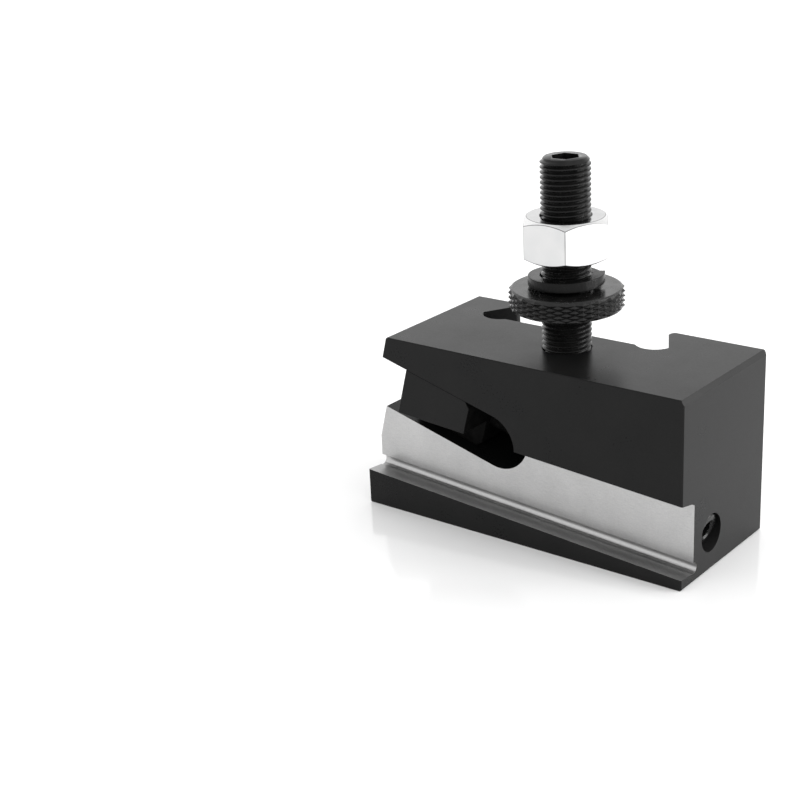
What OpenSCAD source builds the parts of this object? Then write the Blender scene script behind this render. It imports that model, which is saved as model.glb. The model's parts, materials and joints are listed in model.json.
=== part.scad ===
// Parting blade holder for a quick change tool post. Millimetres, +Z up.
// The origin is the middle of the block's underside. +X points along the block from its nose to the
// draw screw end, -Y points out of the blade slot and +Y out of the dovetail socket.

/* [Block] */
// Length of the block from the nose to the screw end
block_l = 75; // [70:0.5:80]
// Width of the block from the blade face to the dovetail face
block_w = 32.4; // [31:0.1:36]
// Height of the block
block_h = 38.3; // [37:0.1:42]
// Height at which the nose starts to lean back
nose_foot_h = 13.8; // [12:0.1:15]
// Chamfer on the long and upright edges
edge_chamfer = 0.25; // [0.1:0.05:1]
// Drop of the longer chamfer at the screw end's top edge
end_drop = 1.1; // [0.8:0.1:2.5]

/* [Dovetail socket] */
// Depth of the socket
dovetail_depth = 10.4; // [10:0.1:12]
// Width of the socket between the sharp edges of its mouth
dovetail_mouth = 34.2; // [30:0.1:38]
// Distance of the socket's middle from the nose end
dovetail_x = 36.3; // [35:0.1:38]
// Angle between the socket's floor and its flanks
dovetail_angle = 60; // [55:1:65]
// Radius of the round reliefs in the socket's inner corners
relief_r = 3.9; // [3:0.1:5]
// Distance of each relief's centre from the socket's middle
relief_x = 18.4; // [17:0.1:19]
// Height of each relief's centre over the socket's floor
relief_lift = 2.7; // [2:0.1:4]
// Radius of the rounded edges at the mouth
mouth_r = 1.5; // [0.5:0.1:2]

/* [Blade slot] */
// Downward tilt of the blade slot towards the screw end
slot_tilt = 4.05; // [3:0.05:5]
// Height of the ledge's front edge at the nose end
ledge_h = 7.6; // [7:0.1:9]
// Height of the slot's mouth above the ledge
slot_h = 15; // [14:0.1:15.5]
// Depth of the slot from the blade face
slot_depth = 4.7; // [4:0.1:5]
// Fall of the ledge from its front edge to the wall
ledge_fall = 0.4; // [0:0.05:0.5]
// Fall of the slot's roof from its front edge to the wall
roof_fall = 0.9; // [0:0.05:1.2]
// Radius of the relief groove in the slot's lower corner
groove_r = 1.15; // [0.8:0.05:1.3]

/* [Clamp channel] */
// Downward angle of the channel towards the screw end, which is also the nose's lean
channel_angle = 15; // [12:0.5:16]
// Width of the channel
channel_w = 13.5; // [12:0.1:14]
// Depth of the channel from the blade face
channel_depth = 18; // [16.5:0.1:18.5]
// Distance of the channel's round end from the nose end, at the centre of the round
channel_end_x = 30.9; // [29:0.1:32]
// Height of the round end's centre
channel_end_z = 20; // [19:0.1:21]

/* [Blade clamp] */
// Length of the clamp along the channel
clamp_l = 16.4; // [15:0.1:18]
// Distance of the clamp's near face from the centre of the channel's round end
clamp_back = 5.6; // [5:0.1:7]
// Height of the clamp's flange edge at the nose end
flange_h = 22.95; // [22.5:0.05:23.5]
// Depth from the blade face to the clamp's body below its flange
clamp_setback = 8; // [4.7:0.1:8.5]
// Chamfer on the clamp's near corners
clamp_chamfer = 1.15; // [0.8:0.05:1.5]
// Gap between the clamp and each wall of its channel
slide_gap = 0.05; // [0.02:0.01:0.1]

/* [Draw screw] */
// Diameter of the screw's thread
screw_d = 4; // [4:0.1:4.2]
// Length of the screw under its head
screw_l = 60; // [56:1:62]
// Diameter of the screw's head
screw_head_d = 7; // [6.8:0.1:7.2]
// Height of the screw's head
screw_head_h = 4; // [3.5:0.1:4.5]
// Size of the hex key for the screw, across flats
screw_key = 3; // [2.5:0.1:3.5]
// Diameter of the counterbore for the head
counterbore_d = 7.5; // [7.4:0.1:8]
// Depth of the head's seat, along the screw from the end face
counterbore_depth = 5; // [4.8:0.1:6]
// Distance of the screw's axis from the blade face
screw_y = 11.5; // [11:0.1:12]
// Drop of the screw's axis below the channel's middle line
screw_drop = 0.5; // [0:0.1:1]
// Gap between the screw and its holes
screw_gap = 0.08; // [0.03:0.01:0.1]

/* [Height stud] */
// Diameter of the stud's thread
stud_d = 10; // [9.5:0.1:10.5]
// Length of the stud
stud_l = 50; // [45:1:55]
// Depth of the stud in the block
stud_sunk = 11.9; // [11:0.1:14]
// Distance of the stud from the nose end
stud_x = 41.1; // [40:0.1:43]
// Distance of the stud from the blade face
stud_y = 14.1; // [13:0.1:15]
// Size of the hex key for the stud, across flats
stud_key = 5; // [4.5:0.1:5.5]
// Depth of the stud's hex socket
stud_key_depth = 6; // [4:0.5:8]
// Chamfer on the stud's ends
stud_chamfer = 0.7; // [0.5:0.1:1.2]

/* [Knurled height nut] */
// Diameter of the knurled nut
knurled_d = 22.8; // [20:0.1:24]
// Thickness of the knurled nut
knurled_h = 4.2; // [3.5:0.1:6]
// Height of the knurled nut's underside above the block
knurled_lift = 8.3; // [7:0.1:10]
// Chamfer on the knurled nut's edges
knurled_chamfer = 0.4; // [0.2:0.05:0.6]

/* [Lock washer and hex nut] */
// Inner diameter of the lock washer
washer_in_d = 10.3; // [10.2:0.05:10.6]
// Outer diameter of the lock washer
washer_out_d = 15; // [14:0.1:16]
// Thickness of the lock washer
washer_h = 1.95; // [1.5:0.05:2.2]
// Rise of the lock washer from its low end to its high end
washer_rise = 1; // [0.5:0.05:1.2]
// Width of the lock washer's split, as an angle
washer_split = 22; // [15:1:30]
// Turn of the lock washer on the stud, from its split facing the screw end
washer_turn = 35; // [0:1:359]
// Width of the hex nut across flats
hex_nut_af = 16; // [15:0.5:17]
// Height of the hex nut
hex_nut_h = 8.4; // [8:0.1:8.5]
// Height of the hex nut's underside above the block
hex_nut_lift = 18.35; // [17:0.05:20]
// Turn of the hex nut on the stud
hex_nut_turn = 2; // [0:1:59]
// Gap between each nut and the stud
nut_gap = 0.05; // [0.02:0.01:0.1]

/* [Hidden] */
$fn = 96;
over = 1;  // how far a cut runs past the face that it opens
black_oxide = [0.13, 0.13, 0.135];
ground_steel = [0.75, 0.75, 0.74];
bright_zinc = [0.88, 0.88, 0.89];

// Block outline: where the leaning nose meets the top
nose_top_x = (block_h - nose_foot_h) * tan(channel_angle);

// Dovetail socket, measured from its own middle line
dovetail_floor_y = block_w - dovetail_depth;
relief_y = dovetail_floor_y + relief_lift;
mouth_half = dovetail_mouth / 2;
mouth_round_y = block_w - mouth_r;
mouth_round_x = mouth_half + mouth_r / tan(dovetail_angle) + mouth_r / sin(dovetail_angle);

// Clamp: its far face and the length that its screw hole runs through
clamp_far = clamp_back + clamp_l;
clamp_half = channel_w / 2 - slide_gap;

// Draw screw: distance along its axis to the block's end face
axis_to_end = (block_l - channel_end_x) / cos(channel_angle) + screw_drop * tan(channel_angle);
screw_seat = axis_to_end - counterbore_depth;

// Hex nut: the face chamfer runs out at 30 degrees from its circle on the face to clear of the corners
nut_face_r = hex_nut_af * 0.95 / 2;
nut_cone_r = hex_nut_af / cos(30) / 2 + over;
nut_cone_drop = (nut_cone_r - nut_face_r) * tan(30);

// Frames of reference -------------------------------------------------------------------------------

// Puts its children's corner frame in the part's frame. In the corner frame X runs from the nose end,
// Y from the blade face and Z from the underside.
module from_corner() {
    translate([-block_l / 2, -block_w / 2, 0]) children();
}

// In the corner frame, puts X along the channel with its zero at the centre of the round end
module along_channel() {
    translate([channel_end_x, 0, channel_end_z]) rotate([0, channel_angle, 0]) children();
}

// In the corner frame, puts X on the draw screw's axis, with the same zero as the channel's
module along_screw() {
    along_channel() translate([0, screw_y, -screw_drop]) children();
}

// In the corner frame, lays X along the blade slot from the ledge's front edge at the nose end
module along_slot() {
    translate([0, 0, ledge_h]) rotate([0, slot_tilt, 0]) children();
}

// In the corner frame, puts Z on the stud's axis, from the block's top face
module on_stud() {
    translate([stud_x, stud_y, block_h]) children();
}

// A cylinder from x0 to x1 along X
module rod_x(x0, x1, d) {
    translate([x0, 0, 0]) rotate([0, 90, 0]) cylinder(h = x1 - x0, d = d);
}

// A hexagonal prism along Z, its size given across flats
module hex_prism(af, h) {
    cylinder(h = h, d = af / cos(30), $fn = 6);
}

// A disc or a rod with both ends chamfered
module chamfered_rod(d, h, chamfer) {
    rotate_extrude() polygon([
        [0, 0], [d / 2 - chamfer, 0], [d / 2, chamfer],
        [d / 2, h - chamfer], [d / 2 - chamfer, h], [0, h]
    ]);
}

// Holder block --------------------------------------------------------------------------------------

// The block from the blade face: leaning nose on the left, longer chamfer at the screw end's top edge
module side_outline() {
    c = edge_chamfer;
    polygon([
        [0, c], [c, 0], [block_l - c, 0], [block_l, c], [block_l, block_h - end_drop],
        [block_l - end_drop / 2, block_h], [nose_top_x + c, block_h],
        [nose_top_x - c * sin(channel_angle), block_h - c], [0, nose_foot_h]
    ]);
}

// The block from one end
module end_outline() {
    c = edge_chamfer;
    polygon([
        [0, c], [c / 2, 0], [block_w - c, 0], [block_w, c], [block_w, block_h - c],
        [block_w - c, block_h], [c / 2, block_h], [0, block_h - c]
    ]);
}

// The block from above, less the dovetail socket
module top_outline() {
    c = edge_chamfer;
    difference() {
        polygon([
            [0, c / 2], [c / 2, 0], [block_l - c, 0], [block_l, c],
            [block_l, block_w - c], [block_l - c, block_w], [c, block_w], [0, block_w - c]
        ]);
        translate([dovetail_x, 0]) dovetail_outline();
    }
}

// Between the flanks the socket is cut down to its floor, and the round reliefs reach past it
module dovetail_outline() {
    reach = block_w + over;
    narrow = mouth_half - over / tan(dovetail_angle);
    wide = mouth_half + block_w / tan(dovetail_angle);
    intersection() {
        polygon([[-wide, 0], [wide, 0], [narrow, reach], [-narrow, reach]]);
        union() {
            translate([-relief_x, dovetail_floor_y]) square([2 * relief_x, reach - dovetail_floor_y]);
            translate([-wide, relief_y]) square([2 * wide, reach - relief_y]);
            for (side = [-1, 1]) translate([side * relief_x, relief_y]) circle(r = relief_r);
        }
    }
    for (side = [-1, 1]) scale([side, 1]) mouth_rounding();
}

// What the rounded edge at the mouth takes off the block's sharp lip
module mouth_rounding() {
    tangent = [mouth_round_x, mouth_round_y] - [sin(dovetail_angle), cos(dovetail_angle)] * mouth_r;
    difference() {
        polygon([
            tangent, [mouth_round_x, mouth_round_y], [mouth_round_x, block_w + over],
            [mouth_half - over, block_w + over], [mouth_half - over, tangent.y]
        ]);
        translate([mouth_round_x, mouth_round_y]) circle(r = mouth_r);
    }
}

// Cross-section of the blade slot, as [depth, height over the ledge's front edge]
module slot_outline() {
    polygon([
        [-over, 0], [0, 0], [slot_depth, -ledge_fall], [slot_depth, slot_h - roof_fall - 0.4],
        [slot_depth - 0.4, slot_h - roof_fall], [0, slot_h], [-over, slot_h]
    ]);
    translate([slot_depth + 0.1, groove_r - ledge_fall - 0.15]) circle(r = groove_r);
}

module blade_slot() {
    along_slot()
        translate([-2 * over, 0, 0]) rotate([90, 0, 90]) linear_extrude(block_l + 4 * over) slot_outline();
}

module clamp_channel() {
    along_channel() {
        rotate([-90, 0, 0]) translate([0, 0, -over]) cylinder(h = channel_depth + over, d = channel_w);
        translate([-block_l, -over, -channel_w / 2]) cube([block_l, channel_depth + over, channel_w]);
    }
}

module screw_hole() {
    along_screw() {
        rod_x(0, axis_to_end, screw_d + 2 * screw_gap);
        rod_x(screw_seat, axis_to_end + 2 * over, counterbore_d);
    }
}

module holder_block() {
    color(black_oxide) from_corner() difference() {
        intersection() {
            translate([0, block_w, 0]) rotate([90, 0, 0]) linear_extrude(block_w) side_outline();
            rotate([90, 0, 90]) linear_extrude(block_l) end_outline();
            linear_extrude(block_h) top_outline();
        }
        blade_slot();
        clamp_channel();
        screw_hole();
        on_stud() translate([0, 0, -stud_sunk]) cylinder(h = stud_sunk + over, d = stud_d);
    }
}

// Pieces on the stud --------------------------------------------------------------------------------

module height_stud() {
    color(black_oxide) from_corner() on_stud() translate([0, 0, -stud_sunk]) difference() {
        chamfered_rod(stud_d, stud_l, stud_chamfer);
        translate([0, 0, stud_l - stud_key_depth]) hex_prism(stud_key, stud_key_depth + over);
    }
}

module knurled_height_nut() {
    color(black_oxide) from_corner() on_stud() translate([0, 0, knurled_lift]) difference() {
        chamfered_rod(knurled_d, knurled_h, knurled_chamfer);
        translate([0, 0, -over]) cylinder(h = knurled_h + 2 * over, d = stud_d + 2 * nut_gap);
    }
}

// A split ring of square section that climbs steadily from its low end to its high end
module spring_lock_washer() {
    steps = 60;
    sweep = 360 - washer_split;
    corners = [
        [washer_in_d / 2, 0], [washer_out_d / 2, 0],
        [washer_out_d / 2, washer_h], [washer_in_d / 2, washer_h]
    ];
    points = [
        for (i = [0:steps], c = corners)
            let (a = washer_split + sweep * i / steps, z = c.y + washer_rise * i / steps)
                [c.x * cos(a), c.x * sin(a), z]
    ];
    sides = [
        for (i = [0:steps - 1], k = [0:3])
            let (a = 4 * i + k, b = 4 * i + (k + 1) % 4)
                each [[a, a + 4, b + 4], [a, b + 4, b]]
    ];
    last = 4 * steps;
    ends = [[0, 1, 2], [0, 2, 3], [last, last + 2, last + 1], [last, last + 3, last + 2]];
    color(black_oxide) from_corner() on_stud() translate([0, 0, knurled_lift + knurled_h])
        rotate([0, 0, washer_turn]) polyhedron(points = points, faces = concat(sides, ends));
}

// The nut's corners are cut back by a cone at each face
module hex_lock_nut() {
    color(bright_zinc) from_corner() on_stud() translate([0, 0, hex_nut_lift]) difference() {
        intersection() {
            rotate([0, 0, hex_nut_turn]) hex_prism(hex_nut_af, hex_nut_h);
            rotate_extrude() polygon([
                [0, 0], [nut_face_r, 0], [nut_cone_r, nut_cone_drop],
                [nut_cone_r, hex_nut_h - nut_cone_drop], [nut_face_r, hex_nut_h], [0, hex_nut_h]
            ]);
        }
        translate([0, 0, -over]) cylinder(h = hex_nut_h + 2 * over, d = stud_d + 2 * nut_gap);
    }
}

// Blade clamp and its screw -------------------------------------------------------------------------

// The clamp from the blade face, along the channel
module clamp_outline() {
    c = clamp_chamfer;
    polygon([
        [-clamp_far, -clamp_half], [-clamp_back - c, -clamp_half], [-clamp_back, -clamp_half + c],
        [-clamp_back, clamp_half - c], [-clamp_back - c, clamp_half], [-clamp_far, clamp_half]
    ]);
}

module blade_clamp() {
    color(black_oxide) from_corner() difference() {
        along_channel() translate([0, channel_depth - slide_gap, 0]) rotate([90, 0, 0])
            linear_extrude(channel_depth - slide_gap) clamp_outline();
        along_screw() rod_x(-clamp_far - over, 0, screw_d + 2 * nut_gap);
        // Everything below the flange is set back well behind the blade
        translate([0, -over, flange_h]) rotate([0, slot_tilt, 0]) translate([0, 0, -block_h])
            cube([block_l, clamp_setback + over, block_h]);
    }
}

module clamp_draw_screw() {
    color(black_oxide) from_corner() along_screw() translate([screw_seat, 0, 0]) difference() {
        union() {
            rod_x(-screw_l, 0, screw_d);
            rotate([0, 90, 0]) chamfered_rod(screw_head_d, screw_head_h, 0.3);
        }
        translate([screw_head_h / 2, 0, 0]) rotate([0, 90, 0]) hex_prism(screw_key, screw_head_h);
    }
}

holder_block();
height_stud();
knurled_height_nut();
spring_lock_washer();
hex_lock_nut();
blade_clamp();
clamp_draw_screw();
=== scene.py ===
import json
import math

import bmesh
import bpy
from mathutils import Matrix, Vector


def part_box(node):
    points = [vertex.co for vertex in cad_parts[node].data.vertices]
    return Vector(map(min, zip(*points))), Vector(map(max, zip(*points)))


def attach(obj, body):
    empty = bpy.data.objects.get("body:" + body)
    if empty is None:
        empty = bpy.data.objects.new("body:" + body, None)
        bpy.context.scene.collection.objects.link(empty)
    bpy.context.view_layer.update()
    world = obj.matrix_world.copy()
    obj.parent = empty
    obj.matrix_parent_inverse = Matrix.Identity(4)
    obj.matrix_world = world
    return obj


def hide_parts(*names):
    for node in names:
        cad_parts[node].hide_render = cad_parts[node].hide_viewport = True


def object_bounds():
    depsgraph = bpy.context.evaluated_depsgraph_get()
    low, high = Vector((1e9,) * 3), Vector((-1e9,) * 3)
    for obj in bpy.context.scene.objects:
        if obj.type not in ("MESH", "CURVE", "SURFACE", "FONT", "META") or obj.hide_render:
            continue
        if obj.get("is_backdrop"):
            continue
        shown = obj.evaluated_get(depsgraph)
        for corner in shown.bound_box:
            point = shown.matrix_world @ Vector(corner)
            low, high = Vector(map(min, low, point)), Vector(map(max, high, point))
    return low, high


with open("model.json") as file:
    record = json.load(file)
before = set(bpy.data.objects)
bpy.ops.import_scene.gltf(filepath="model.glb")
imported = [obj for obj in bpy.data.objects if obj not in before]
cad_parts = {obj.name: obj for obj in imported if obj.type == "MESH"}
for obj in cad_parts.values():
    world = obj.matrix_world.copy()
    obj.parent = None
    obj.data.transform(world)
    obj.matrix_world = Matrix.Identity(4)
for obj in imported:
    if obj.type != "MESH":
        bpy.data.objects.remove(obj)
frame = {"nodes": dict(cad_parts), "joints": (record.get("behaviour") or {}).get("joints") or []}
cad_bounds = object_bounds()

MM = 0.001
FULL_TURN = 2 * math.pi

# Sizes in metres of the details that the CAD nodes leave plain
THREAD_STEPS = 32  # points in each turn of a thread
THREAD_ROWS = 8  # rows of faces from one thread groove to the next
STUD_PITCH = 1 * MM
STUD_CREST = 4.93 * MM
STUD_ROOT = 4.33 * MM
STUD_CHAMFER = 0.8 * MM
STUD_SOCKET_AF = 5 * MM
STUD_SOCKET_DEPTH = 6 * MM
SCREW_PITCH = 0.7 * MM
SCREW_CREST = 1.98 * MM
SCREW_ROOT = 1.6 * MM
SCREW_CHAMFER = 0.5 * MM
SCREW_SHANK_R = 2 * MM  # as the CAD node has it, plain
SCREW_HEAD_R = 3.5 * MM
SCREW_HEAD_H = 4 * MM
SCREW_HEAD_CHAMFER = 0.3 * MM  # as the CAD node has it
SCREW_HEAD_EDGE = 0.35 * MM  # the measure that its rounded edge is drawn in
SCREW_HEAD_STEPS = 96
SCREW_SOCKET_AF = 3 * MM
SCREW_SOCKET_DEPTH = 2 * MM
SCREW_SOCKET_RIM = 2.1 * MM
SOCKET_CONE = 0.35  # depth of the cone under a key socket, in radii
KNURL_COLUMNS = 22  # diamonds round the height nut
KNURL_ROWS = 4
KNURL_DEPTH = 0.45 * MM
NUT_BORE = 5.05 * MM
NUT_BORE_CHAMFER = 0.5 * MM
NUT_END_HEIGHT = 0.18 * MM  # of the slope between an end face and the knurl
NUT_END_REACH = 0.35 * MM  # of that slope inwards
SOFT_EDGE_STEPS = 2

# Where the block's faces change their finish
BLADE_FACE_TO_WALL = 4.7 * MM
LEDGE_HEIGHT = 7.6 * MM  # at the nose end, above the underside
SLOT_TILT = math.radians(4.05)
SLOT_FRONT = 0.02 * MM  # depths from the blade face
SLOT_BACK = BLADE_FACE_TO_WALL + 2 * MM
WALL_FRONT = BLADE_FACE_TO_WALL - 0.1 * MM
LEDGE_ABOVE = 2.2 * MM  # reach of the ledge's finish over and under its front edge
LEDGE_BELOW = 1.5 * MM
ALONG_SLOT = 0.05  # how far a normal may lean along the slot
LIP_LINE = 0.13 * MM  # reach of the bright line on both sides of the lip's front edge
CLAMP_FACE_DEPTH = 1 * MM  # the clamp's faces behind this lie in the recess and take painted shade
SQUARE_ON = 0.98  # cosine above which a normal counts as lying along an axis
WALL_LEAN = 0.6  # cosine above which a slot face belongs to the wall and not to the ledge

# Distances under which points are joined, or count as being on a limit
CAD_WELD = 0.5e-6
CAD_FLAT = math.radians(0.4)  # triangles that lean less than this are made one face
THREAD_WELD = 2e-6
ON_RIM = 1e-6
AT_END = 1e-7


# Node trees ----------------------------------------------------------------------------------------

class Wire:
    """An output of a node, with arithmetic that adds Math nodes to its tree."""

    def __init__(self, tree, socket):
        self.tree, self.socket = tree, socket

    def math(self, operation, *values):
        return self.tree.add("ShaderNodeMath", {"operation": operation}, dict(enumerate(values)))

    def __add__(self, other):
        return self.math("ADD", self, other)

    def __sub__(self, other):
        return self.math("SUBTRACT", self, other)

    def __rsub__(self, other):
        return self.math("SUBTRACT", other, self)

    def __mul__(self, other):
        return self.math("MULTIPLY", self, other)

    def __truediv__(self, other):
        return self.math("DIVIDE", self, other)

    def __mod__(self, other):
        return self.math("FLOORED_MODULO", self, other)

    def __abs__(self):
        return self.math("ABSOLUTE", self)

    def __round__(self):
        return self.math("ROUND", self)

    __radd__, __rmul__ = __add__, __mul__

    def clamp(self):
        return self.math("MAXIMUM", 0.0, self.math("MINIMUM", 1.0, self))


class Tree:
    """A node tree under construction."""

    def __init__(self, nodes, links):
        self.nodes, self.links = nodes, links

    def add(self, kind, settings=(), sockets=(), output=0):
        """Adds a node: its settings first, then the values or wires of its inputs."""
        node = self.nodes.new(kind)
        for name, value in dict(settings).items():
            if name == "stops":
                while len(node.color_ramp.elements) < len(value):
                    node.color_ramp.elements.new(0.5)
                for stop, (position, shade) in zip(node.color_ramp.elements, value):
                    stop.position, stop.color = position, (*shade, 1)
            else:
                setattr(node, name, value)
        for name, value in dict(sockets).items():
            self.feed(node.inputs[name], value)
        return Wire(self, node.outputs[output]) if len(node.outputs) else node

    def feed(self, socket, value):
        if isinstance(value, Wire):
            self.links.new(value.socket, socket)
        else:
            socket.default_value = value


class Finish(Tree):
    """A material with one Principled shader."""

    def __init__(self, name, **constants):
        self.material = bpy.data.materials.new(name)
        self.material.use_nodes = True
        super().__init__(self.material.node_tree.nodes, self.material.node_tree.links)
        self.shader = next(n for n in self.nodes if n.type == "BSDF_PRINCIPLED")
        for socket, value in constants.items():
            self.set(socket.replace("_", " "), value)
        self.place = self.add("ShaderNodeTexCoord", output="Object")

    def set(self, socket, value):
        self.feed(self.shader.inputs[socket], value)

    def grain(self, scale, detail, stretch=(1, 1, 1), turn=(0, 0, 0)):
        """Noise from 0 to 1, scale in patches per metre, pulled out along the axes by stretch."""
        where = self.add("ShaderNodeMapping", {"vector_type": "TEXTURE"},
                         {"Vector": self.place, "Scale": stretch, "Rotation": turn})
        return self.add("ShaderNodeTexNoise", {}, {
            "Vector": where, "Scale": scale, "Detail": detail, "Roughness": 0.5})

    def spread(self, value, low, high, out_low, out_high):
        """Maps value from low..high to out_low..out_high, held at both ends."""
        return self.add("ShaderNodeMapRange", {"clamp": True}, {
            "Value": value, "From Min": low, "From Max": high,
            "To Min": out_low, "To Max": out_high})

    def shades(self, factor, *stops):
        return self.add("ShaderNodeValToRGB", {"stops": stops}, {"Fac": factor})

    def bump(self, height, distance, strength):
        return self.add("ShaderNodeBump", {}, {
            "Height": height, "Distance": distance, "Strength": strength})


# Finishes ------------------------------------------------------------------------------------------

def grey(value, warmth=0.0):
    """A grey that leans towards red with warmth above 0, and towards blue below it."""
    return (value * (1 + warmth), value, value * (1 - warmth))


def black_oxide(name, roughness, dark, light, specular):
    finish = Finish(name, Specular_IOR_Level=specular)
    cloud = finish.grain(90, 3)
    speck = finish.grain(2600, 2)
    mottle = finish.spread(cloud * 0.7 + speck * 0.3, 0.35, 0.65, 0, 1)
    finish.set("Base Color",
               finish.shades(mottle, (0, grey(dark, -0.02)), (1, grey(light, 0.01))))
    finish.set("Roughness", finish.spread(cloud * 0.6 + speck * 0.4, 0.3, 0.7,
                                          roughness - 0.05, roughness + 0.07))
    cutter = finish.grain(2200, 1, stretch=(14, 1, 1))
    finish.set("Normal", finish.bump(cutter * 0.6 + speck * 0.4,
                                    distance=0.003 * MM, strength=0.5))
    return finish.material


def worn_edge():
    """A brighter metallic finish, mottled by noise, for the faces along the lip's front edge."""
    finish = Finish("worn_edge", Specular_IOR_Level=0.5)
    lip_noise = finish.spread(finish.grain(420, 4), 0.45, 0.7, 0, 1)
    finish.set("Base Color", finish.shades(lip_noise, (0, grey(0.08)), (1, grey(0.4, 0.01))))
    finish.set("Metallic", finish.spread(lip_noise, 0, 1, 0.6, 1))
    finish.set("Roughness", finish.spread(lip_noise, 0, 1, 0.36, 0.28))
    return finish.material


def ground_steel(name, low, high):
    finish = Finish(name, Metallic=1.0)
    lines = finish.grain(6000, 2, stretch=(9, 1, 1), turn=(0, SLOT_TILT, 0))
    speck = finish.grain(3200, 3)
    cloud = finish.grain(160, 2)
    tone = finish.spread(lines * 0.4 + speck * 0.3 + cloud * 0.3, 0.34, 0.66, 0, 1)
    finish.set("Base Color", finish.shades(tone, (0, grey(low)), (1, grey(high, 0.004))))
    finish.set("Roughness", finish.spread(lines * 0.7 + cloud * 0.3, 0.3, 0.7, 0.3, 0.42))
    finish.set("Normal", finish.bump(lines, distance=0.003 * MM, strength=0.7))
    return finish.material


def oiled_black(name, roughness, specular):
    finish = Finish(name, Specular_IOR_Level=specular)
    film = finish.grain(500, 3)
    finish.set("Base Color",
               finish.shades(film, (0.3, grey(0.004)), (0.75, grey(0.009, 0.02))))
    finish.set("Roughness",
               finish.spread(film, 0.3, 0.7, roughness - 0.05, roughness + 0.08))
    finish.set("Normal",
               finish.bump(finish.grain(4000, 2), distance=0.004 * MM, strength=0.5))
    return finish.material


def bright_zinc(name, low, high):
    finish = Finish(name, Metallic=1.0)
    cloud = finish.grain(240, 3)
    fine = finish.grain(3000, 2)
    finish.set("Base Color",
               finish.shades(cloud, (0.3, grey(low, -0.006)), (0.7, grey(high, 0.002))))
    finish.set("Roughness", finish.spread(cloud * 0.5 + fine * 0.5, 0.3, 0.7, 0.1, 0.2))
    finish.set("Normal", finish.bump(fine, distance=0.002 * MM, strength=0.4))
    return finish.material


def pale_floor():
    finish = Finish("pale_floor", IOR=1.55)
    cloud = finish.grain(12, 3)
    finish.set("Base Color", finish.shades(cloud, (0.3, grey(0.95)), (0.7, grey(0.96))))
    finish.set("Roughness", finish.spread(cloud, 0.3, 0.7, 0.1, 0.13))
    return finish.material


# Mesh tools ----------------------------------------------------------------------------------------

def link(name, mesh):
    piece = bpy.data.objects.new(name, mesh)
    bpy.context.scene.collection.objects.link(piece)
    return piece


def settle(piece):
    """Turns a piece's modifiers into plain mesh and takes them off."""
    bpy.context.view_layer.update()
    solid = piece.evaluated_get(bpy.context.evaluated_depsgraph_get())
    mesh = bpy.data.meshes.new_from_object(solid)
    piece.modifiers.clear()
    piece.data = mesh
    return piece


def smooth(piece, angle):
    piece.data.shade_smooth()
    piece.data.set_sharp_from_angle(angle=math.radians(angle))
    return piece


def soften(piece, width, angle, edge_slot=-1):
    """Rounds the edges sharper than angle. The rounds take the material in edge_slot, or with -1
    that of the faces beside them."""
    bevel = piece.modifiers.new("soft_edges", "BEVEL")
    bevel.width, bevel.segments = width, SOFT_EDGE_STEPS
    bevel.limit_method, bevel.angle_limit = "ANGLE", math.radians(angle)
    bevel.use_clamp_overlap = True
    bevel.harden_normals = True
    bevel.material = edge_slot
    settle(piece)


def merged_copy(node, name):
    """A copy of a CAD node with its loose triangles joined and its flat faces made whole."""
    shape = bmesh.new()
    shape.from_mesh(frame["nodes"][node].data)
    bmesh.ops.remove_doubles(shape, verts=shape.verts, dist=CAD_WELD)
    bmesh.ops.dissolve_limit(shape, angle_limit=CAD_FLAT, verts=shape.verts, edges=shape.edges)
    mesh = bpy.data.meshes.new(name)
    shape.to_mesh(mesh)
    shape.free()
    for attribute in [a for a in mesh.attributes if a.name == "custom_normal"]:
        mesh.attributes.remove(attribute)
    mesh.materials.clear()
    return link(name, mesh)


def lathe(name, outline, steps):
    """Turns an outline of (radius, height) about Z. Where it ends on the axis it closes there."""
    shape = bmesh.new()
    rings = []
    for radius, height in outline:
        if radius == 0:
            rings.append([shape.verts.new((0, 0, height))] * steps)
        else:
            rings.append([
                shape.verts.new((radius * math.cos(FULL_TURN * k / steps),
                                 radius * math.sin(FULL_TURN * k / steps), height))
                for k in range(steps)])
    pairs = list(zip(rings, rings[1:]))
    if outline[0][0] and outline[-1][0]:
        pairs.append((rings[-1], rings[0]))
    for low, high in pairs:
        for k in range(steps):
            corners = [low[k], low[k - steps + 1], high[k - steps + 1], high[k]]
            shape.faces.new(list(dict.fromkeys(corners)))
    bmesh.ops.recalc_face_normals(shape, faces=shape.faces)
    mesh = bpy.data.meshes.new(name)
    shape.to_mesh(mesh)
    shape.free()
    return link(name, mesh)


def cap_ends(piece):
    shape = bmesh.new()
    shape.from_mesh(piece.data)
    bmesh.ops.holes_fill(shape, edges=[e for e in shape.edges if e.is_boundary])
    bmesh.ops.recalc_face_normals(shape, faces=shape.faces)
    shape.to_mesh(piece.data)
    shape.free()


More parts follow.
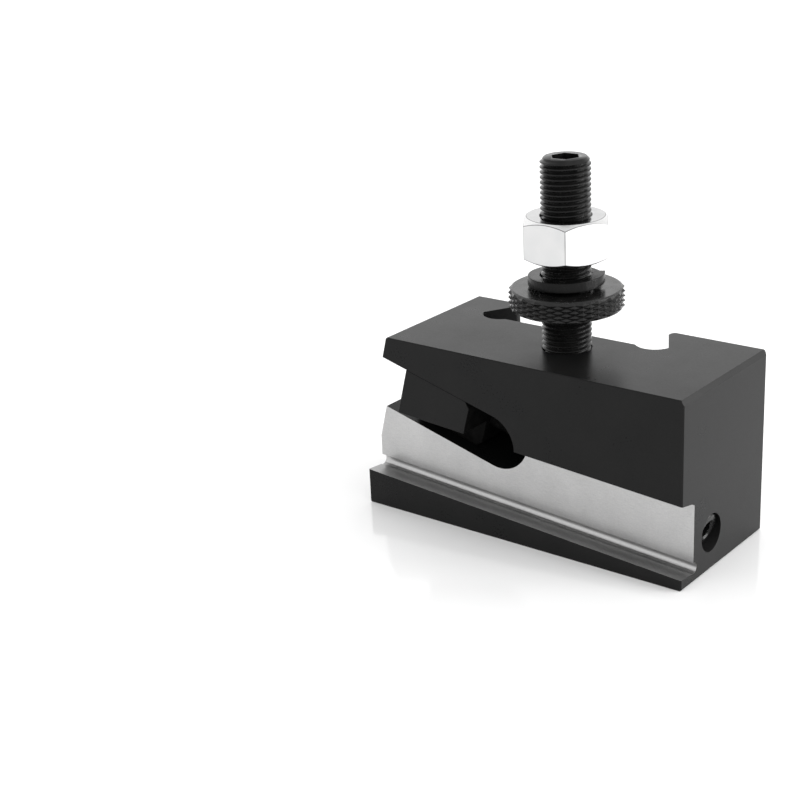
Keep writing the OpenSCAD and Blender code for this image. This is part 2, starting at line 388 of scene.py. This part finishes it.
def cut_socket(piece, across_flats, depth, top, turn):
    """Sinks a hexagonal key socket with a cone-shaped floor into the top of a piece, about Z."""
    radius = across_flats / math.sqrt(3)
    shape = bmesh.new()
    rings = [[shape.verts.new((radius * math.cos(turn + FULL_TURN * k / 6),
                               radius * math.sin(turn + FULL_TURN * k / 6), z)) for k in range(6)]
             for z in (top - depth, top + depth)]
    tip = shape.verts.new((0, 0, top - depth - radius * SOCKET_CONE))
    shape.faces.new(rings[1])
    for k in range(6):
        shape.faces.new([rings[0][k - 1], rings[0][k], rings[1][k], rings[1][k - 1]])
        shape.faces.new([rings[0][k], rings[0][k - 1], tip])
    bmesh.ops.recalc_face_normals(shape, faces=shape.faces)
    mesh = bpy.data.meshes.new("key_socket_cutter")
    shape.to_mesh(mesh)
    shape.free()
    cutter = link("key_socket_cutter", mesh)
    cut = piece.modifiers.new("key_socket", "BOOLEAN")
    cut.operation, cut.solver, cut.object = "DIFFERENCE", "EXACT", cutter
    settle(piece)
    bpy.data.objects.remove(cutter)


def paint(piece, finish):
    """Gives every face of a piece the same finish."""
    piece.data.materials.clear()
    piece.data.materials.append(finish)
    piece.data.polygons.foreach_set("material_index", [0] * len(piece.data.polygons))


def join(pieces):
    """Makes one piece of several, under the first one's name."""
    shape = bmesh.new()
    for piece in pieces:
        shape.from_mesh(piece.data)
    shape.to_mesh(pieces[0].data)
    shape.free()
    for piece in pieces[1:]:
        bpy.data.objects.remove(piece)
    return pieces[0]


# Geometry Nodes ------------------------------------------------------------------------------------

class Builder(Tree):
    """A Geometry Nodes tree with named inputs, run once on a piece and then made plain mesh."""

    def __init__(self, name, **inputs):
        self.group = bpy.data.node_groups.new(name, "GeometryNodeTree")
        super().__init__(self.group.nodes, self.group.links)
        face = self.group.interface
        face.new_socket("Geometry", in_out="INPUT", socket_type="NodeSocketGeometry")
        face.new_socket("Geometry", in_out="OUTPUT", socket_type="NodeSocketGeometry")
        self.keys = {}
        for label, kind in inputs.items():
            socket = face.new_socket(label, in_out="INPUT", socket_type="NodeSocket" + kind)
            self.keys[label] = socket.identifier
        source = self.nodes.new("NodeGroupInput")
        self.start = Wire(self, source.outputs["Geometry"])
        self.input = {label: Wire(self, source.outputs[label]) for label in inputs}

    def end(self, geometry):
        real = self.add("GeometryNodeRealizeInstances", {}, {0: geometry})
        painted = self.add("GeometryNodeSetMaterial", {}, {
            "Geometry": real, "Material": self.input["Finish"]})
        out = self.nodes.new("NodeGroupOutput")
        self.feed(out.inputs["Geometry"], painted)

    def run(self, piece, **values):
        modifier = piece.modifiers.new(self.group.name, "NODES")
        modifier.node_group = self.group
        for label, value in values.items():
            modifier[self.keys[label]] = value
        return settle(piece)


def thread_builder():
    """A screw thread: one long strip wound so that its upper edge meets its lower edge a turn
    later. Both ends are cut square, inside a chamfer that is deeper than the thread."""
    t = Builder("screw_thread", Pitch="Float", Crest="Float", Root="Float", Bottom="Float",
                Top="Float", Chamfer="Float", Finish="Material")
    pitch, crest, root = t.input["Pitch"], t.input["Crest"], t.input["Root"]
    bottom, top, chamfer = t.input["Bottom"], t.input["Top"], t.input["Chamfer"]
    turns = round((top - bottom) / pitch) + 2  # one to spare at each end
    strip = t.add("GeometryNodeMeshGrid", {}, {
        "Size X": turns, "Size Y": 1.0,
        "Vertices X": turns * THREAD_STEPS + 1, "Vertices Y": THREAD_ROWS + 1})
    place = t.add("GeometryNodeInputPosition")
    apart = t.add("ShaderNodeSeparateXYZ", {}, {0: place})
    along = apart + turns * 0.5
    across = Wire(t, apart.socket.node.outputs["Y"]) + 0.5
    raw = bottom + (along + across - 1) * pitch
    height = raw.math("MAXIMUM", bottom, raw.math("MINIMUM", top, raw))
    # Straight flanks, eased at the crest and the root
    hill = ((1 - abs(across * 2 - 1)) * 1.5 - 0.25).clamp()
    cone_low = crest - chamfer + (height - bottom)
    cone_high = crest - chamfer + (top - height)
    radius = root + (crest - root) * hill
    inside = radius.math("MINIMUM", radius, radius.math("MINIMUM", cone_low, cone_high))
    ended = raw.math("MAXIMUM", raw.math("LESS_THAN", raw, bottom + AT_END),
                     raw.math("GREATER_THAN", raw, top - AT_END))
    final = inside * (1 - ended) + (crest - chamfer) * ended
    angle = along * FULL_TURN
    spot = t.add("ShaderNodeCombineXYZ", {}, {
        0: final * angle.math("COSINE", angle), 1: final * angle.math("SINE", angle), 2: height})
    wound = t.add("GeometryNodeSetPosition", {}, {"Geometry": strip, "Position": spot})
    t.end(t.add("GeometryNodeMergeByDistance", {}, {"Geometry": wound, "Distance": THREAD_WELD}))
    return t


def knurl_builder():
    """Presses a diamond knurl into the rim of a turned piece whose rim has a point at each corner
    and centre of every diamond."""
    t = Builder("diamond_knurl", Rim="Float", Bottom="Float", Half_Row="Float", Columns="Int",
                Depth="Float", Finish="Material")
    place = t.add("GeometryNodeInputPosition")
    apart = t.add("ShaderNodeSeparateXYZ", {}, {0: place})
    x = apart
    y, z = (Wire(t, apart.socket.node.outputs[axis]) for axis in "YZ")
    radius = x.math("SQRT", x * x + y * y)
    column = round(x.math("ARCTAN2", y, x) / FULL_TURN * t.input["Columns"] * 2)
    row = round((z - t.input["Bottom"]) / t.input["Half_Row"])
    hollow = (column + row) % 2
    shrink = 1 - hollow * t.input["Depth"] / t.input["Rim"]
    spot = t.add("ShaderNodeCombineXYZ", {}, {0: x * shrink, 1: y * shrink, 2: z})
    rim = radius.math("GREATER_THAN", radius, t.input["Rim"] - ON_RIM)
    pressed = t.add("GeometryNodeSetPosition", {}, {
        "Geometry": t.start, "Selection": rim, "Position": spot})
    t.end(t.add("GeometryNodeTriangulate", {"quad_method": "SHORTEST_DIAGONAL"}, {0: pressed}))
    return t


# Finishes used on the pieces
BLOCK_BLACK = black_oxide("black_oxide_block", 0.3, 0.0055, 0.0085, 0.14)
CLAMP_BLACK = black_oxide("black_oxide_clamp", 0.33, 0.005, 0.009, 0.14)
GROUND_WALL = ground_steel("ground_steel_wall", 0.44, 0.57)
# Painted shade: the ledge is a darker copy of the wall's ground steel, darker only because of how
# light falls on it
GROUND_LEDGE_PAINTED_SHADE = ground_steel("ground_steel_ledge", 0.23, 0.36)
EDGE = worn_edge()
STUD_BLACK = oiled_black("oiled_black_thread", 0.2, 0.2)
NUT_BLACK = oiled_black("oiled_black_knurl", 0.22, 0.3)
WASHER_BLACK = oiled_black("oiled_black_washer", 0.22, 0.12)
# Painted shade: a near-black, almost unreflecting copy of the oiled black, for the clamp's faces
# deep in the channel and the draw screw's shank, where there is only shadow
PAINTED_SHADE_BLACK = oiled_black("sooty_black_recess", 0.6, 0.02)
ZINC = bright_zinc("bright_zinc_plate", 0.6, 0.66)
# Painted shade: a darker copy of the zinc for the nut's end faces, which catch less light
ZINC_PAINTED_SHADE_ENDS = bright_zinc("bright_zinc_face", 0.38, 0.44)
# Painted shade: a still darker copy of the zinc for the nut's rounded edges, drawing dark lines at
# its corners and chamfers
ZINC_PAINTED_SHADE_EDGES = bright_zinc("bright_zinc_edge", 0.2, 0.3)

THREAD = thread_builder()
KNURL = knurl_builder()


def centre_of(node):
    low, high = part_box(node)
    return (low + high) / 2


# Pieces --------------------------------------------------------------------------------------------

def ledge_line(x, block_low):
    """Height of the ledge's front edge."""
    return block_low.z + LEDGE_HEIGHT - (x - block_low.x) * math.tan(SLOT_TILT)


def on_lip_edge(face, block_low):
    off_line = abs(face.center.z - ledge_line(face.center.x, block_low))
    return off_line < LIP_LINE and face.center.y - block_low.y < LIP_LINE


def in_blade_slot(face, block_low):
    """Whether a face of the block is one of the slot's ground faces, and not in the clamp's
    channel."""
    depth = face.center.y - block_low.y
    if not SLOT_FRONT < depth < SLOT_BACK:
        return False
    n = face.normal
    wall = n.y < -SQUARE_ON and depth > WALL_FRONT
    rise = face.center.z - ledge_line(face.center.x, block_low)
    along = abs(n.x - n.z * math.tan(SLOT_TILT)) < ALONG_SLOT
    return wall or (along and -LEDGE_BELOW < rise < LEDGE_ABOVE)


def make_block():
    block = merged_copy("holder_block", "block")
    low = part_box("holder_block")[0]
    finishes = [BLOCK_BLACK, GROUND_WALL, GROUND_LEDGE_PAINTED_SHADE, EDGE]
    for finish in finishes:
        block.data.materials.append(finish)
    # The ledge's faces take the darker copy of the ground steel: painted shade
    for face in block.data.polygons:
        if in_blade_slot(face, low):
            upright = face.normal.y < -WALL_LEAN
            face.material_index = finishes.index(GROUND_WALL if upright else GROUND_LEDGE_PAINTED_SHADE)
    soften(block, width=0.1 * MM, angle=50)
    # Faces along the lip's front edge take the brighter metallic strip
    for face in block.data.polygons:
        if on_lip_edge(face, low):
            face.material_index = finishes.index(EDGE)
    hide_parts("holder_block")
    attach(block, "holder")


def make_stud():
    low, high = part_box("height_stud")
    stud = link("stud", bpy.data.meshes.new("stud"))
    THREAD.run(stud, Pitch=STUD_PITCH, Crest=STUD_CREST, Root=STUD_ROOT, Bottom=low.z, Top=high.z,
               Chamfer=STUD_CHAMFER, Finish=STUD_BLACK)
    cap_ends(stud)
    cut_socket(stud, STUD_SOCKET_AF, STUD_SOCKET_DEPTH, high.z, turn=0.1)
    paint(smooth(stud, 50), STUD_BLACK)
    middle = centre_of("height_stud")
    stud.data.transform(Matrix.Translation((middle.x, middle.y, 0)))
    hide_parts("height_stud")
    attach(stud, "holder")


def make_height_nut():
    low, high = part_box("knurled_height_nut")
    rim, height = (high.x - low.x) / 2, high.z - low.z
    half_row = (height - 2 * NUT_END_HEIGHT) / (2 * KNURL_ROWS)
    inner = rim - KNURL_DEPTH
    end, mouth = inner - NUT_END_REACH, NUT_BORE + NUT_BORE_CHAMFER
    rows = [(rim, NUT_END_HEIGHT + half_row * k) for k in range(1, 2 * KNURL_ROWS)]
    outline = [(mouth, 0), (end, 0), (inner, NUT_END_HEIGHT), *rows,
               (inner, height - NUT_END_HEIGHT), (end, height), (mouth, height),
               (NUT_BORE, height - NUT_BORE_CHAMFER), (NUT_BORE, NUT_BORE_CHAMFER)]
    nut = lathe("height_nut", outline, 2 * KNURL_COLUMNS)
    KNURL.run(nut, Rim=rim, Bottom=NUT_END_HEIGHT, Half_Row=half_row, Columns=KNURL_COLUMNS,
              Depth=KNURL_DEPTH, Finish=NUT_BLACK)
    nut.data.shade_flat()
    paint(nut, NUT_BLACK)
    middle = centre_of("knurled_height_nut")
    nut.data.transform(Matrix.Translation((middle.x, middle.y, low.z)))
    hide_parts("knurled_height_nut")
    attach(nut, "height_nut")


def make_washer():
    washer = merged_copy("spring_lock_washer", "washer")
    washer.data.materials.append(WASHER_BLACK)
    soften(washer, width=0.16 * MM, angle=40)
    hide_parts("spring_lock_washer")
    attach(washer, "washer")


def make_hex_nut():
    nut = merged_copy("hex_lock_nut", "lock_nut")
    finishes = [ZINC, ZINC_PAINTED_SHADE_ENDS, ZINC_PAINTED_SHADE_EDGES]
    for finish in finishes:
        nut.data.materials.append(finish)
    # The end faces take the darker zinc copy: painted shade
    for face in nut.data.polygons:
        painted_shade_end = abs(face.normal.z) > SQUARE_ON
        face.material_index = finishes.index(ZINC_PAINTED_SHADE_ENDS if painted_shade_end else ZINC)
    # The rounded edges take the darkest zinc copy: painted dark edge lines
    soften(nut, width=0.1 * MM, angle=20, edge_slot=finishes.index(ZINC_PAINTED_SHADE_EDGES))
    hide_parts("hex_lock_nut")
    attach(nut, "lock_nut")


def make_clamp():
    clamp = merged_copy("blade_clamp", "clamp")
    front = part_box("holder_block")[0].y
    finishes = [CLAMP_BLACK, PAINTED_SHADE_BLACK]
    for finish in finishes:
        clamp.data.materials.append(finish)
    # Faces set back further than CLAMP_FACE_DEPTH take painted shade: a near-black finish standing
    # in for the shadow in the channel
    for face in clamp.data.polygons:
        gets_painted_shade = face.center.y - front > CLAMP_FACE_DEPTH
        face.material_index = finishes.index(PAINTED_SHADE_BLACK if gets_painted_shade else CLAMP_BLACK)
    soften(clamp, width=0.15 * MM, angle=30)
    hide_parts("blade_clamp")
    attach(clamp, "clamp")


def make_draw_screw():
    joint = next(j for j in frame["joints"] if j["name"] == "draw_screw_turn")
    outward = -Vector(joint["axis"]).normalized()
    low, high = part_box("clamp_draw_screw")
    # The box holds a tilted screw: the head's and shank's corners reach past the axis's ends in X
    face_x = high.x - (SCREW_HEAD_R - SCREW_HEAD_CHAMFER) * -outward.z
    pivot = Vector(joint["pos_m"])
    face = pivot + outward * ((face_x - pivot.x) / outward.x)
    corners = (SCREW_HEAD_R + SCREW_SHANK_R) * -outward.z
    length = ((high.x - low.x) - corners) / outward.x - SCREW_HEAD_H
    shank = link("draw_screw", bpy.data.meshes.new("draw_screw"))
    THREAD.run(shank, Pitch=SCREW_PITCH, Crest=SCREW_CREST, Root=SCREW_ROOT,
               Bottom=-length - SCREW_HEAD_H, Top=SCREW_CHAMFER - SCREW_HEAD_H,
               Chamfer=SCREW_CHAMFER, Finish=STUD_BLACK)
    cap_ends(shank)
    rim, edge = SCREW_HEAD_R, SCREW_HEAD_EDGE
    head = lathe("screw_head", [
        (0, -SCREW_HEAD_H), (rim - edge, -SCREW_HEAD_H), (rim, edge - SCREW_HEAD_H),
        (rim, -1.6 * edge), (rim - 0.3 * edge, -0.7 * edge), (rim - 0.9 * edge, -0.15 * edge),
        (rim - 1.8 * edge, 0), (SCREW_SOCKET_RIM, 0),
        (SCREW_SOCKET_RIM - 0.8 * edge, -0.8 * edge), (0, -0.8 * edge)], SCREW_HEAD_STEPS)
    cut_socket(head, SCREW_SOCKET_AF, SCREW_SOCKET_DEPTH, 0, turn=0.3)
    screw = join([shank, head])
    paint(smooth(screw, 40), STUD_BLACK)
    # The shank, down in the pocket, takes painted shade: the near-black finish stands in for the
    # shadow there and hides its glints
    screw.data.materials.append(PAINTED_SHADE_BLACK)
    painted_shade_slot = screw.data.materials.find(PAINTED_SHADE_BLACK.name)
    for side in screw.data.polygons:
        if side.center.z < -SCREW_HEAD_H:
            side.material_index = painted_shade_slot
    aim = Vector((0, 0, 1)).rotation_difference(outward).to_matrix().to_4x4()
    screw.data.transform(Matrix.Translation(face) @ aim)
    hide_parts("clamp_draw_screw")
    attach(screw, "draw_screw")


make_block()
make_stud()
make_height_nut()
make_washer()
make_hex_nut()
make_clamp()
make_draw_screw()


# Studio --------------------------------------------------------------------------------------------

def make_floor():
    shape = bmesh.new()
    bmesh.ops.create_grid(shape, x_segments=2, y_segments=2, size=3.0)
    mesh = bpy.data.meshes.new("floor")
    shape.to_mesh(mesh)
    shape.free()
    floor = link("floor", mesh)
    floor.data.materials.append(pale_floor())
    floor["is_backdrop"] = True


def make_camera():
    place = (0.17035, -0.25799, 0.14572)
    azimuth, elevation, roll = math.radians(39.37), math.radians(21.07), math.radians(-2.82)
    lens = bpy.data.cameras.new("camera")
    lens.sensor_width, lens.lens = 36, 73.48  # in mm
    lens.clip_start, lens.clip_end = 0.01, 20
    camera = bpy.data.objects.new("camera", lens)
    aim = (Matrix.Rotation(azimuth, 4, "Z") @ Matrix.Rotation(math.pi / 2 - elevation, 4, "X")
           @ Matrix.Rotation(roll, 4, "Z"))
    camera.matrix_world = Matrix.Translation(place) @ aim
    bpy.context.scene.collection.objects.link(camera)
    bpy.context.scene.camera = camera


def compass(azimuth, elevation):
    """A direction of length 1, azimuth counted from +X towards +Y, in degrees."""
    a, e = math.radians(azimuth), math.radians(elevation)
    return (math.cos(a) * math.cos(e), math.sin(a) * math.cos(e), math.sin(e))


def make_light():
    """A white tent all round, with a bright panel low on the right and a broad dim one behind."""
    scene = bpy.context.scene
    scene.view_settings.view_transform = "Standard"
    world = bpy.data.worlds.new("studio")
    world.use_nodes = True
    scene.world = world
    tent = Tree(world.node_tree.nodes, world.node_tree.links)
    outward = tent.add("ShaderNodeTexCoord", output="Object")

    def panel(azimuth, elevation, full, end, strength):
        """A round patch of light, even within full degrees of its middle and gone at end."""
        facing = tent.add("ShaderNodeVectorMath", {"operation": "DOT_PRODUCT"},
                          {0: outward, 1: compass(azimuth, elevation)}, output="Value")
        return tent.add("ShaderNodeMapRange", {"interpolation_type": "SMOOTHSTEP"}, {
            "Value": facing, "From Min": math.cos(math.radians(end)),
            "From Max": math.cos(math.radians(full)), "To Min": 0.0, "To Max": strength})

    bright = panel(azimuth=27, elevation=10, full=16, end=30, strength=7.5)
    broad = panel(azimuth=130, elevation=24, full=24, end=50, strength=0.3)
    all_round = 1.1
    backdrop = world.node_tree.nodes["Background"]
    backdrop.inputs["Color"].default_value = (1, 1, 1, 1)
    tent.feed(backdrop.inputs["Strength"], bright + broad + all_round)


make_floor()
make_camera()
make_light()

look_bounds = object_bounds()
{"cad": [list(v) for v in cad_bounds], "look": [list(v) for v in look_bounds]}
